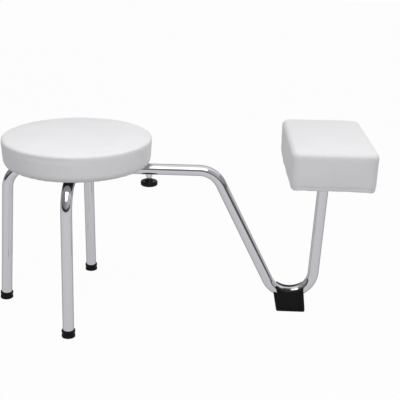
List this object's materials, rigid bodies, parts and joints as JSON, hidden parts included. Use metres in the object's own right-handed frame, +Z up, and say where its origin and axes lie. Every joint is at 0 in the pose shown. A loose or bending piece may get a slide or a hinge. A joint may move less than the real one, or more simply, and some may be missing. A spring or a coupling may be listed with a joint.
{
  "type": "pedicure stool with footrest",
  "caption": "Round padded stool on splayed chromed tube legs, with a bent tube arm that plugs in under the seat, stands on a rubber floor block and carries a padded footrest.",
  "frame": {"origin": "on the floor, under the middle of the whole piece's box", "axes": "+Z up, +X from the seat towards the foot pad, along the arm"},
  "size_m": [0.8608, 0.3988, 0.436],
  "materials": {
    "chrome": "bright chrome plate over bent steel tube",
    "steel": "bright zinc-plated steel",
    "vinyl": "white upholstery vinyl, fine grain, satin",
    "foam": "open-cell polyurethane foam",
    "plywood": "sanded birch plywood",
    "dust_cloth": "non-woven black dust cloth",
    "rubber": "moulded black rubber, satin",
    "knob_plastic": "moulded black thermoset, satin",
    "nylon": "turned natural nylon"
  },
  "bodies": {
    "stool": {"seat_cover": "vinyl", "seat_foam": "foam", "seat_board": "plywood", "seat_dust_cloth": "dust_cloth", "seat_tee_nuts": "steel", "seat_bolts": "steel", "saddle_washers": "steel", "front_back_leg_tube": "chrome", "left_leg_tube": "chrome", "receiver_tube": "chrome", "front_foot_cap": "rubber", "back_foot_cap": "rubber", "left_foot_cap": "rubber", "clamp_nut": "chrome"},
    "arm": {"arm_tube": "chrome", "insert_tube": "steel", "pad_plate": "steel", "pad_screws": "steel", "pad_tee_nuts": "steel", "pad_board": "plywood", "pad_dust_cloth": "dust_cloth", "pad_foam": "foam", "pad_cover": "vinyl", "floor_block": "rubber", "block_screw": "steel", "block_rivet_nut": "steel"},
    "clamp_tip": {"clamp_tip": "nylon"},
    "clamp_screw": {"clamp_stud": "steel", "clamp_knob": "knob_plastic"}
  },
  "joints": [
    {"name": "arm_slide", "type": "slide", "parent": "stool", "child": "arm", "axis": [1, 0, 0], "range_m": [0, 0.08]},
    {"name": "clamp_travel", "type": "slide", "parent": "stool", "child": "clamp_tip", "axis": [0, 0, -1], "range_m": [0, 0.00375]},
    {"name": "clamp_turn", "type": "hinge", "parent": "clamp_tip", "child": "clamp_screw", "pos_m": [-0.06449, 0, 0.31], "axis": [0, 0, -1], "range_deg": [0, 1080]}
  ],
  "couplings": [
    {"joint": "clamp_travel", "follows": "clamp_turn", "m_per_rad": 0.00019894}
  ]
}
